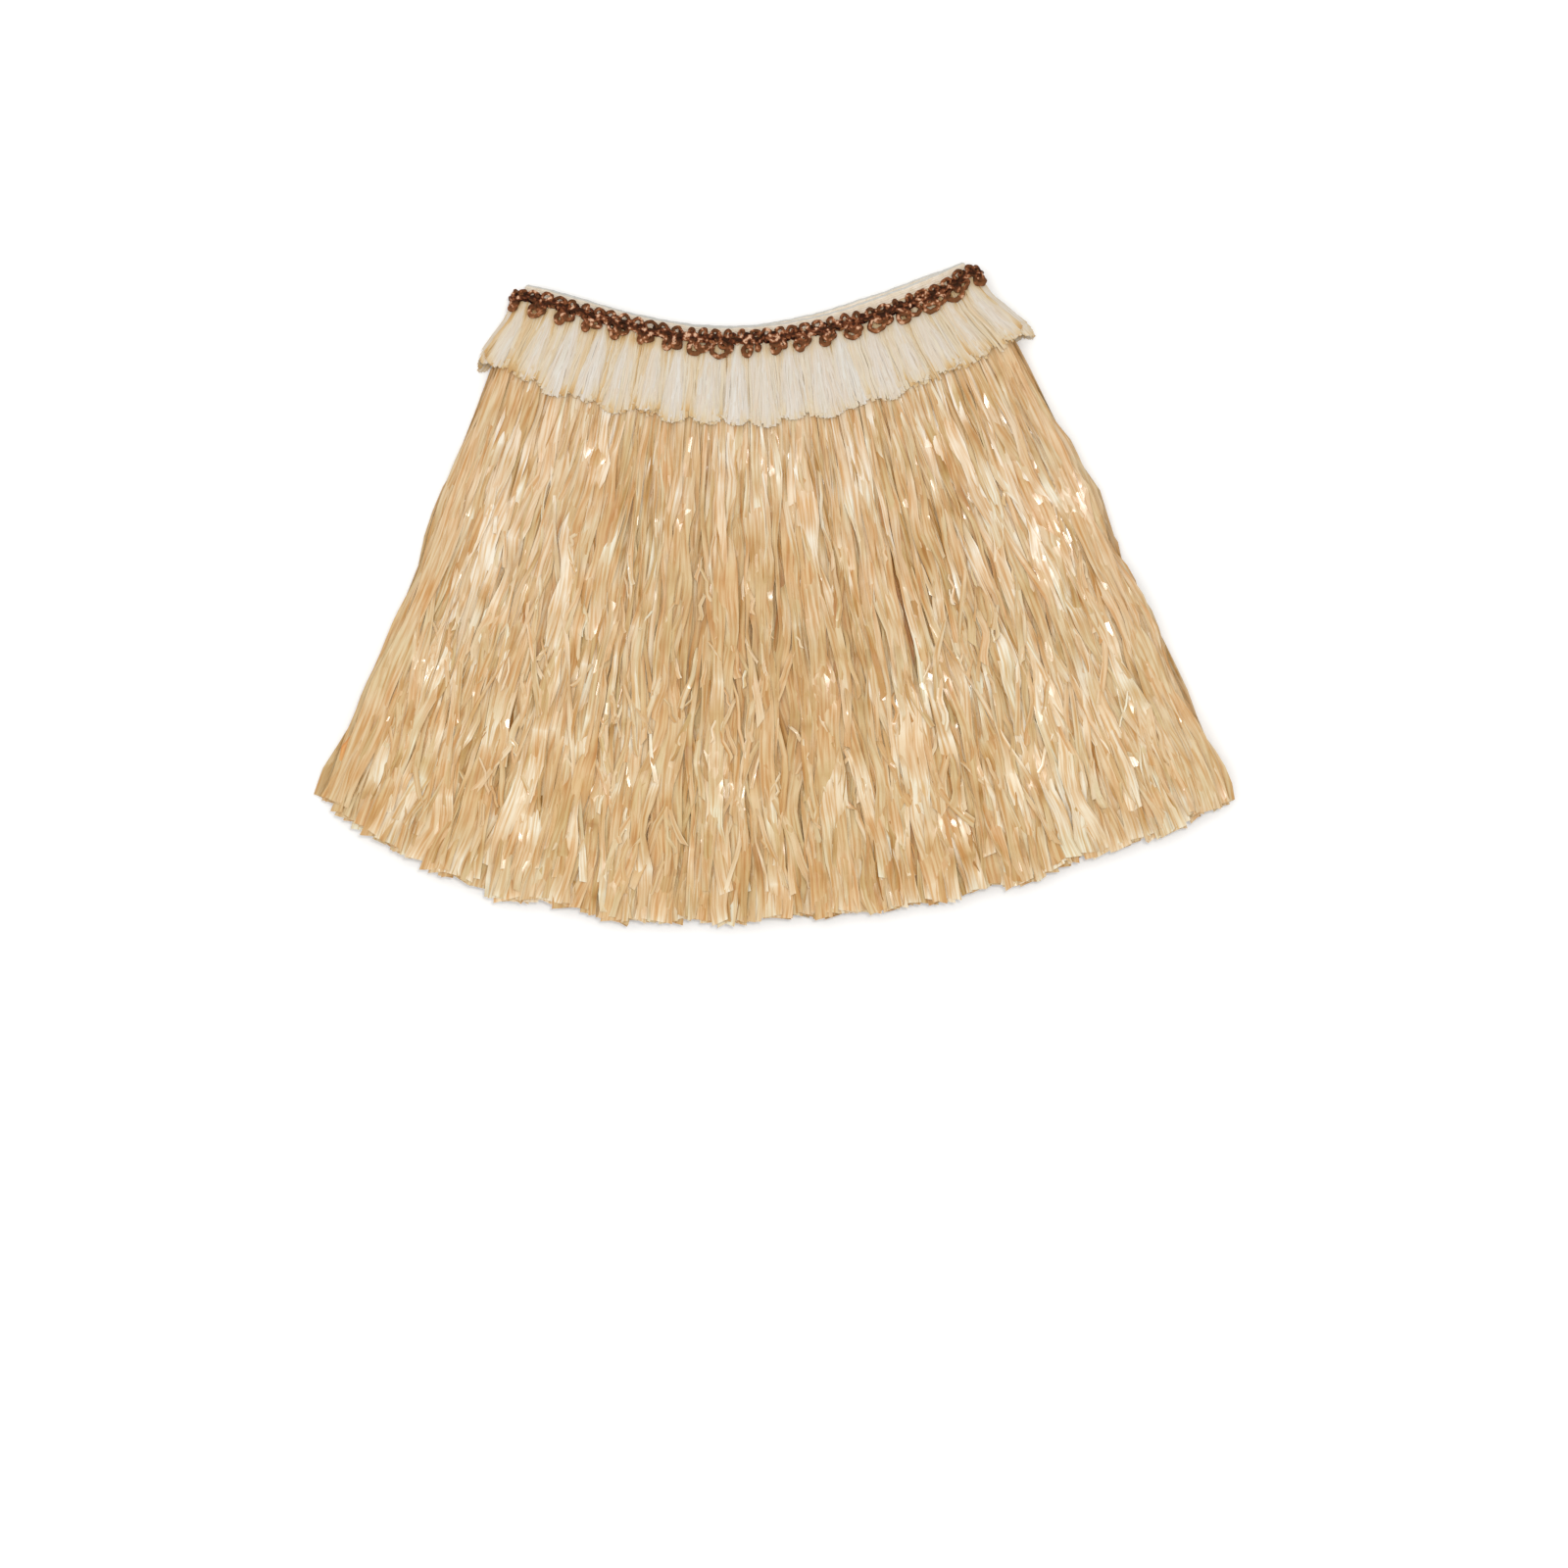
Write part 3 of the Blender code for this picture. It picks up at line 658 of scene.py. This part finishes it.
tufts = {
    "count": 20,  # on each half, with the first and the last on the folds
    "shift": 0.12,  # how far each is from its even place
    "root": 10 * mm,
    "tape": (8 * mm, 16 * mm),  # top and bottom of the strip that the tufts are sewn to
    "tapeTone": 0.5,
    "stripsEach": 120,
    "rings": 9,
    "halfWidth": (0.5, 1.3),  # of a strip, in mm
    "pinch": 2.6 * mm,  # half the width of a tuft where it leaves the braid
    "spread": 11.5 * mm,  # half its width at the ends
    "opens": (14 * mm, 66 * mm),  # it spreads between these, from the band's top edge
    "turnedMost": math.radians(50),  # how far a tuft on a fold is turned sideways
    "between": 0.4,  # the share of the strips that hang between the tufts
    "length": 0.163,  # as a share of the grass
    "uneven": (0.04, 0.034),  # how unevenly tufts and strips are cut
    "rounded": (0.11, 0.3),  # how much shorter a tuft is at its sides, on the flat and on the folds
}
tuftTones = {
    "middle": 0.82,
    "uneven": 0.06,  # from strip to strip, and again from tuft to tuft
    # painted shade at the sides of each tuft and on the strips between tufts
    "sides": -0.45,
    "between": -0.3,
    # the cut ends turn tan, partly their own tint and partly painted shade
    "ends": -0.45,
    "partedShade": (  # painted shade is stronger where the tufts part more, at the sides
        (0, 0.3, 0.55, 0.75, 0.87, 1), (1.15, 0.9, 0.3, 0.45, 0.85, 0.8),
    ),
    "turnedLeast": 0.7,  # tufts on the folds are no darker: the painted shade at their sides is kept off them
    "underBraid": -0.3,  # in the shadow of the braid it is tan, except in the peaks between two knots
    "peaks": -0.4,
}
fringes = {
    "tuftsFront": {
        "node": "tufts_front", "side": front, "seed": 24, "down": (0, 16, 28, 38, 54, 70),
        "near": (5.6, 5.6, 5.6, 5.9, 6.5, 6.7), "far": (6.8, 6.8, 6.8, 9.3, 10.3, 8.4),
    },
    "tuftsBack": {
        "node": "tufts_back", "side": back, "seed": 22, "down": (0, 16, 28, 38, 54, 70),
        "near": (5.6, 5.6, 5.6, 6.1, 6.6, 6.8), "far": (6.8, 6.8, 6.8, 9.3, 9.3, 9.3),
    },
}


def makeFringe(name, piece):
    rng = np.random.default_rng(piece["seed"])
    count, side = tufts["count"], piece["side"]
    n, rings = count * tufts["stripsEach"], tufts["rings"]
    tuft = np.repeat(np.arange(count), tufts["stripsEach"])
    place = np.arange(count) + rng.uniform(-tufts["shift"], tufts["shift"], count)
    middle, turn = gimpSpot(place / (count - 1))
    turn = np.clip(turn, -tufts["turnedMost"], tufts["turnedMost"])
    between = rng.uniform(0, 1, n) < tufts["between"]
    middle = np.where(between, rng.uniform(0, 1, n), middle[tuft])
    turn = turn[tuft] * ~between
    flat = turn == 0
    spot = rng.uniform(-1, 1, (n, 1))  # from one side of its tuft to the other
    length = fallAt("length", middle) * mm * tufts["length"]
    unevenTuft, unevenStrip = tufts["uneven"]
    length *= 1 + rng.normal(0, unevenTuft, count)[tuft] - np.abs(rng.normal(0, unevenStrip, n))
    length *= 1 - np.where(flat, *tufts["rounded"]) * np.abs(spot[:, 0]) ** 2.5 - 0.03 * between
    share = np.linspace(0, 1, rings)[None]
    down = tufts["root"] + (length - tufts["root"])[:, None] * share
    waves = wavesAlong(rng, down)

    between, flat, turn = between[:, None], flat[:, None], turn[:, None]
    opened = fadeIn(down, *tufts["opens"]) ** 0.7
    spread = tufts["spread"] * rng.uniform(0.85, 1.2, count)[tuft][:, None]
    spread = np.where(between, 0.4 * spread, np.where(flat, spread, 0.85 * spread))
    aside = spot * (tufts["pinch"] + (spread - tufts["pinch"]) * opened) + waves(0.5 * mm, 18, 50)
    heap = rng.uniform(0.72, 1, (n, 1)) + rng.uniform(-0.08, 0.08, count)[tuft][:, None]
    heap = np.clip(heap * (1 - 0.8 * spot ** 2) + waves(0.05, 20, 50), 0, 1)
    heap *= np.where(between, 0.6, 1)
    depth = betweenLayers(piece, down, heap)
    centres = layPlace(side, middle[:, None], turn, down, depth, aside, flared=True)
    facing = lookingOut(side, turn * (0.7 - 0.25 * opened), centres)
    halfWidths = rng.uniform(*tufts["halfWidth"], (n, 1)) * mm * (0.6 + 0.6 * opened)
    twists = waves(rng.uniform(0.0, 0.2, (n, 1)), 30, 90) - side * 0.35 * spot
    folds = rng.uniform(0.0, 0.15, (n, 1, 1)) * np.array((0, 1, 0)) + np.zeros((n, rings, 1))

    look = tuftTones
    partedShade = np.interp(middle[:, None], *look["partedShade"])
    tones = look["middle"] + rng.normal(0, look["uneven"], (n, 1))
    tones = tones + rng.normal(0, look["uneven"], count)[tuft][:, None]
    # painted shade at the sides of each tuft and on the strips that hang between tufts
    tones = tones + partedShade * (look["sides"] * np.abs(spot) ** 2.5 + look["between"] * between)
    tones = np.where(flat, tones, np.maximum(tones, look["turnedLeast"]))
    # the cut ends turn tan, partly their own tint and partly painted shade
    tones = tones + look["ends"] * fadeIn(share, 0.82, 1) * rng.uniform(0, 1, (n, 1)) * (0.5 + partedShade)
    # painted shadow of the braid, deepest at the sides of each tuft just below the knots
    tones += look["underBraid"] * fadeIn(down, 21 * mm, 18 * mm)
    tones += look["peaks"] * spot ** 2 * np.exp(-((down - 22 * mm) / (7 * mm)) ** 2)
    return stripMesh(
        name, centres, facing, halfWidths, twists, folds, np.clip(tones, 0, 1),
        rng.uniform(0, 40, (n, 2)), rng.uniform(-0.6, 0.6, n),
    )


for name, piece in fringes.items():
    fringe = makeFringe(name, piece)
    joinPieces(fringe, [headerTape(name + "Tape", piece, tufts)])
    dress(fringe, paleRaffia, piece["node"])

# Gimp braid: seven plied cords, three looped downwards, two in small loops upwards and two twisted along
# the middle
gimp = {
    "seed": 31,
    "drop": 3 * mm,  # how much lower it runs at the folds
    "raised": (  # how much higher it runs at places across, in mm
        (0.0, 0.15, 0.3, 0.55, 0.7, 0.85, 0.93, 1.0), (5.0, 3.6, 3.0, 2.4, 1.2, 0.6, 1.4, 5.0),
    ),
    "repeats": 19,
    "middle": {front: 8.5 * mm, back: 8.0 * mm},  # depth of its middle
    "plies": 3,
    "plyPitch": 5 * mm,
    "plyHeight": 0.14,  # how far the plies stand out, as a share of the cord's radius
    "sectionPoints": 9,
    "uneven": 0.26,
    "pressed": 0.7,  # the plied cords are pressed to this share of their height
    "pressedFrom": 5 * mm,  # not in the folds, nearer to the middle plane than this
    "ending": 24 * mm,  # its loops shrink this far from each fold
}
# For each cord, in mm: its radius, how far down its centre runs, and how far its loops swing and reach. Then
# their number in a repeat, the steps in each, which way they face, how far they rise and fall over each
# other, where they lie (aside and depth), and how much paler brown is mixed into them.
gimpCords = {
    "lowerLoops": {
        "radius": 1.72, "down": 17.1, "swing": 6.8, "reach": 5.7, "loops": 1, "steps": 38,
        "facing": 1, "weave": 0.6, "aside": -1.5, "depth": 0.0, "paleBrownMix": 0.17,
    },
    "lowerSecond": {
        "radius": 1.6, "down": 15.2, "swing": 6.3, "reach": 4.3, "loops": 1, "steps": 34,
        "facing": 1, "weave": -0.6, "aside": 3.6, "depth": 0.6, "paleBrownMix": 0.08,
    },
    "lowerThird": {
        "radius": 1.35, "down": 14.7, "swing": 5.6, "reach": 3.4, "loops": 1, "steps": 30,
        "facing": 1, "weave": 0.4, "aside": 0.8, "depth": 1.1, "paleBrownMix": 0.06,
    },
    "upperLoops": {
        "radius": 1.25, "down": 9.8, "swing": 4.2, "reach": 3.3, "loops": 2, "steps": 24,
        "facing": -1, "weave": 0.5, "aside": 0.0, "depth": 0.0, "paleBrownMix": 0.24,
    },
    "upperSecond": {
        "radius": 1.05, "down": 11.0, "swing": 3.5, "reach": 2.5, "loops": 2, "steps": 22,
        "facing": -1, "weave": -0.5, "aside": 2.6, "depth": 0.5, "paleBrownMix": 0.04,
    },
    "core": {
        "radius": 1.4, "down": 12.9, "swing": 0.0, "reach": 1.3, "loops": 2, "steps": 8,
        "facing": 1, "weave": 0.8, "aside": 0.0, "depth": -0.4, "paleBrownMix": 0.0,
    },
    "coreSecond": {
        "radius": 1.4, "down": 12.9, "swing": 0.0, "reach": 1.3, "loops": 2, "steps": 8,
        "facing": -1, "weave": -0.8, "aside": 0.0, "depth": -0.4, "paleBrownMix": 0.0,
    },
}


def satinCord():
    # Rayon gimp: smooth dark brown yarn, shiny along the ply. Paler, redder specks scattered over it are
    # painted highlight, near-black ones painted shade.
    material, shader = newMaterial("brownSatinCord", {
        "Roughness": 0.55, "IOR": 1.5, "Specular IOR Level": 0.06,
    })
    place = addNode(material, "ShaderNodeTexCoord")
    lightAndShadeSpeckle = addNode(material, "ShaderNodeTexNoise", {
        "Vector": place.outputs["Object"], "Scale": 1 / (3.4 * mm), "Detail": 2.0,
    })
    colour = addNode(material, "ShaderNodeValToRGB", {"Fac": lightAndShadeSpeckle.outputs["Fac"]})
    rampStops(colour, ((0.41, "#170502"), (0.5, "#42190B"), (0.585, "#824C2E"), (0.66, "#D2AC8F")))
    tone = addNode(material, "ShaderNodeAttribute", attribute_name="tone")
    paleBrownMix = addNode(material, "ShaderNodeMix", {
        "Factor": tone.outputs["Fac"], "A": colour.outputs["Color"], "B": hexLinear("#A0683F"),
    }, data_type="RGBA")
    material.node_tree.links.new(paleBrownMix.outputs["Result"], shader.inputs["Base Color"])
    yarn = addNode(material, "ShaderNodeTexNoise", {
        "Vector": place.outputs["Object"], "Scale": 1 / (0.5 * mm), "Detail": 2.0,
    })
    bump = addNode(material, "ShaderNodeBump", {
        "Height": yarn.outputs["Fac"], "Strength": 0.3, "Distance": 0.1 * mm,
    })
    material.node_tree.links.new(bump.outputs["Normal"], shader.inputs["Normal"])
    return material


def makeCord(name, side, cord, rng):
    rounds = gimp["repeats"] * cord["loops"]
    phase = np.linspace(0, math.tau * rounds, rounds * cord["steps"] + 1)
    whole = lay["chord"] + math.pi * lay["halfThickness"]
    # no two loops are quite alike, but the ends on the fold line are
    loop = np.linspace(0, rounds, rounds + 1)
    uneven = rng.normal(0, gimp["uneven"], (3, rounds + 1))
    uneven[0] += cord["aside"] * cord["loops"] / 6
    uneven *= np.minimum(loop, rounds - loop) > 0.5
    shift, wider, longer = (np.interp(phase / math.tau, loop, row) for row in uneven)
    swing = cord["swing"] * mm * (1 + wider) * np.sin(phase)
    along = whole * phase / phase[-1] + swing + 6 * mm * shift / cord["loops"]
    across, turn = gimpSpot(along / whole)
    drop = gimp["drop"] * np.abs(2 * across - 1) ** 3 - np.interp(across, *gimp["raised"]) * mm
    ending = np.clip(1 - np.minimum(along, whole - along) / gimp["ending"], 0, 1)
    reach = cord["reach"] * (1 + 0.8 * longer) * (1 - 0.4 * ending)
    down = (cord["down"] - cord["facing"] * reach * np.cos(phase) - 2 * ending) * mm + drop
    depth = gimp["middle"][side] + (cord["depth"] + cord["weave"] * np.sin(phase)) * mm
    points = layPlace(side, across, turn, down, depth)

    # the section of the plied cord, swept along it and turned as it goes
    bpy.ops.curve.primitive_bezier_circle_add(location=(0, 0, 0))
    section = bpy.context.object
    section.data.splines.clear()
    outline = section.data.splines.new("POLY")
    outline.points.add(gimp["sectionPoints"] - 1)
    outline.use_cyclic_u = True
    for k, point in enumerate(outline.points):
        angle = math.tau * k / gimp["sectionPoints"]
        size = cord["radius"] * mm * (1 + gimp["plyHeight"] * math.cos(gimp["plies"] * angle))
        point.co = (size * math.cos(angle), size * math.sin(angle), 0, 1)
    bpy.ops.curve.primitive_bezier_curve_add(location=(0, 0, 0))
    path = bpy.context.object
    path.name = name
    path.data.splines.clear()
    path.data.dimensions = "3D"
    path.data.bevel_mode = "OBJECT"
    path.data.bevel_object = section
    path.data.use_fill_caps = True
    spline = path.data.splines.new("POLY")
    spline.points.add(len(points) - 1)
    spline.points.foreach_set("co", np.c_[points, np.ones(len(points))].ravel())
    gone = np.r_[0, np.linalg.norm(np.diff(points, axis=0), axis=1).cumsum()]
    spline.points.foreach_set("tilt", (math.tau * gone / gimp["plyPitch"] / gimp["plies"]).astype(np.float32))
    bpy.ops.object.select_all(action="DESELECT")
    path.select_set(True)
    bpy.context.view_layer.objects.active = path
    bpy.ops.object.convert(target="MESH")
    bpy.data.objects.remove(section)

    # the outer stretch of each loop is a paler brown
    cordMesh = bpy.context.object
    palerBrown = cord["paleBrownMix"] + 0.25 * np.clip(cord["facing"] * -np.cos(phase), 0, 1) * (cord["paleBrownMix"] > 0)
    tone = cordMesh.data.attributes.new("tone", "FLOAT", "POINT")
    caps = np.zeros(2 * gimp["sectionPoints"])  # a converted curve has its two caps first
    sides = np.repeat(palerBrown, gimp["sectionPoints"])
    tone.data.foreach_set("value", np.r_[caps, sides].astype(np.float32))
    bpy.ops.object.mode_set(mode="EDIT")
    bpy.ops.mesh.select_all(action="SELECT")
    bpy.ops.mesh.remove_doubles(threshold=0.001 * mm)
    bpy.ops.object.mode_set(mode="OBJECT")
    return cordMesh


cordMaterial = satinCord()
for name, side, node in (("braidFront", front, "braid_front"), ("braidBack", back, "braid_back")):
    rng = np.random.default_rng(gimp["seed"])
    cords = [makeCord(name + key, side, cord, rng) for key, cord in gimpCords.items()]
    braid = cords[0]
    joinPieces(braid, cords[1:])
    braid.name = name
    level = lay["halfThickness"] + side * gimp["middle"][side]
    for vertex in braid.data.vertices:
        if (vertex.co.z - lay["halfThickness"]) * side > gimp["pressedFrom"]:
            vertex.co.z = level + (vertex.co.z - level) * gimp["pressed"]
        vertex.co.z = max(vertex.co.z, lay["floorGap"])
    bpy.ops.object.shade_smooth()
    dress(braid, cordMaterial, node)

# Waistband: a loop of woven elastic, cut 615 mm long and 30 mm wide, laid flat
elastic = {
    "width": 30 * mm,
    "near": 0.4 * mm,
    "far": 2.0 * mm,
    "steps": 220,  # along each half
    "foldSteps": 9,
    "rows": 12,
    "flat": (0.615, 0.030),
    "pucker": 0.3 * mm,
    "puckers": (7, 13, 29, 47, 83),  # waves round the loop
    "seed": 41,
    "rib": 1.5 * mm,
    "pick": 1.2 * mm,
    "relief": 0.25 * mm,
    "topEdgeShadow": (0.5 * mm, 1.6 * mm),  # where the painted shadow starts and stops fading, from the top edge
}


def wovenElastic():
    # Polyester-covered rubber, woven with ribs along its length: matt beige, a little fuzzy
    material, shader = newMaterial("wovenElastic", {"Roughness": 0.8, "IOR": 1.45, "Sheen Weight": 0.2})
    uv = addNode(material, "ShaderNodeUVMap", uv_map="strip")
    split = addNode(material, "ShaderNodeSeparateXYZ", {"Vector": uv.outputs["UV"]})
    ribPlace = addNode(material, "ShaderNodeMath", {
        0: split.outputs["X"], 1: math.tau / elastic["rib"],
    }, operation="MULTIPLY")
    rib = addNode(material, "ShaderNodeMath", {0: ribPlace.outputs[0]}, operation="SINE")
    pickPlace = addNode(material, "ShaderNodeMath", {
        0: split.outputs["Y"], 1: math.tau / elastic["pick"],
    }, operation="MULTIPLY")
    pick = addNode(material, "ShaderNodeMath", {0: pickPlace.outputs[0]}, operation="SINE")
    weave = addNode(material, "ShaderNodeMath", {0: rib.outputs[0], 1: pick.outputs[0]}, operation="MULTIPLY")
    height = addNode(material, "ShaderNodeMath", {0: rib.outputs[0], 1: weave.outputs[0]}, operation="ADD")
    fuzz = addNode(material, "ShaderNodeTexNoise", {
        "Vector": uv.outputs["UV"], "Scale": 1 / (4 * mm), "Detail": 4.0,
    })
    colour = addNode(material, "ShaderNodeValToRGB", {"Fac": fuzz.outputs["Fac"]})
    rampStops(colour, ((0.35, "#DCCBB2"), (0.65, "#E9DCCA")))
    # painted shade in the hollows of the weave
    shade = addNode(material, "ShaderNodeMapRange", {
        "Value": height.outputs[0], "From Min": -2.0, "From Max": 2.0, "To Min": 0.82, "To Max": 1.04,
    })
    shadedWeave = addNode(material, "ShaderNodeMix", {
        "Factor": 1.0, "A": colour.outputs["Color"], "B": shade.outputs["Result"],
    }, data_type="RGBA", blend_type="MULTIPLY")
    # a thin grey line of painted shadow runs along the top edge
    full, gone = elastic["topEdgeShadow"]
    edge = addNode(material, "ShaderNodeMapRange", {
        "Value": split.outputs["X"], "From Min": full, "From Max": gone, "To Min": 0.7, "To Max": 0.0,
    })
    edged = addNode(material, "ShaderNodeMix", {
        "Factor": edge.outputs["Result"], "A": shadedWeave.outputs["Result"], "B": hexLinear("#A9B0B2"),
    }, data_type="RGBA")
    material.node_tree.links.new(edged.outputs["Result"], shader.inputs["Base Color"])
    bump = addNode(material, "ShaderNodeBump", {
        "Height": height.outputs[0], "Strength": 0.4, "Distance": elastic["relief"],
    })
    material.node_tree.links.new(bump.outputs["Normal"], shader.inputs["Normal"])
    return material


def makeWaistband():
    rng = np.random.default_rng(elastic["seed"])
    ahead = np.linspace(0, 1, elastic["steps"])
    fold = np.linspace(0, math.pi, elastic["foldSteps"] + 2)[1:-1]
    across = np.r_[ahead, np.ones(len(fold)), ahead[::-1], np.zeros(len(fold))]
    turn = np.r_[0 * ahead, fold, math.pi + 0 * ahead, -fold[::-1]]
    rise = fallAt("rise", across) * mm * (np.abs(turn) > math.pi / 2)
    count = len(across)
    along = np.arange(count) / count
    pucker = np.zeros(count)
    for waves in elastic["puckers"]:
        pucker += np.sin(math.tau * (waves * along + rng.uniform(0, 1))) / 3
    # the section goes down the outer face, round the lower edge and up the inner face
    middle = (elastic["near"] + elastic["far"]) / 2
    edge = 0.5 * mm
    rows = np.linspace(edge, elastic["width"] - edge, elastic["rows"])
    downs = np.r_[rows, elastic["width"], rows[::-1], 0]
    depths = np.r_[0 * rows + elastic["far"], middle, 0 * rows + elastic["near"], middle]
    twoWays = np.clip(1 - downs / (elastic["width"] / 2), -1, 1)  # the two edges move against each other
    down = downs - rise[:, None] + elastic["pucker"] * pucker[:, None] * twoWays
    depth = depths[None] + 0 * down
    verts = layPlace(front, across[:, None], turn[:, None], down, depth)
    points = verts.shape[1]
    ring, point = np.meshgrid(np.arange(count), np.arange(points), indexing="ij")
    ringNext, pointNext = (ring + 1) % count, (point + 1) % points
    quads = np.stack((
        ring * points + point, ring * points + pointNext,
        ringNext * points + pointNext, ringNext * points + point,
    ), axis=-1).reshape(-1, 4)
    mesh = bpy.data.meshes.new("waistband")
    mesh.from_pydata(verts.reshape(-1, 3).tolist(), [], quads.tolist())
    layer = mesh.uv_layers.new(name="strip")
    gone = np.linalg.norm(np.diff(verts[:, 0], axis=0, append=verts[:1, 0]), axis=1).cumsum()
    wide = np.r_[downs, downs[0] + 0.01 * mm]
    corners = (
        (wide[point], gone[ring]), (wide[point + 1], gone[ring]),
        (wide[point + 1], gone[ring] + 1 * mm), (wide[point], gone[ring] + 1 * mm),
    )
    uv = np.stack([np.stack(corner, axis=-1) for corner in corners], axis=2)
    layer.uv.foreach_set("vector", uv.astype(np.float32).ravel())
    mesh.shade_smooth()
    band = bpy.data.objects.new("waistbandLoop", mesh)
    bpy.context.scene.collection.objects.link(band)
    return band


band = makeWaistband()
dress(band, wovenElastic(), "waistband")

# Floor, light and world: a plain pale studio
studio = {"floorSize": 8, "floorColour": "#FAFAF9", "worldLight": 0.82}
bpy.ops.object.select_all(action="DESELECT")
bpy.ops.mesh.primitive_plane_add(size=studio["floorSize"], location=(0, 0, 0))
floorObject = bpy.context.object
floorObject.name = "floor"
floorPaint = {"Base Color": hexLinear(studio["floorColour"]), "Roughness": 0.9}  # matt white paint
floorObject.data.materials.append(newMaterial("matteWhiteFloor", floorPaint)[0])

lights = {
    "overhead": {"place": (-0.6, 0.15, 2.5), "size": 2.2, "power": 20.4, "colour": (1.0, 0.985, 0.96)},
    "glint": {"place": (0.25, 0.15, 2.9), "size": 0.3, "power": 19, "colour": (1.0, 1.0, 1.0)},
}
for name, light in lights.items():
    bpy.ops.object.light_add(type="AREA", location=light["place"])
    lamp = bpy.context.object
    lamp.name = name
    lamp.data.size = light["size"]
    lamp.data.energy = light["power"]
    lamp.data.color = light["colour"]
    aim = -lamp.location
    lamp.rotation_euler = aim.to_track_quat("-Z", "Y").to_euler()
world = bpy.data.worlds.new("paleStudio")
bpy.context.scene.world = world
world.use_nodes = True
background = world.node_tree.nodes["Background"]
background.inputs["Color"].default_value = (1, 1, 1, 1)
background.inputs["Strength"].default_value = studio["worldLight"]
bpy.context.scene.view_settings.view_transform = "Standard"
print("stage made")
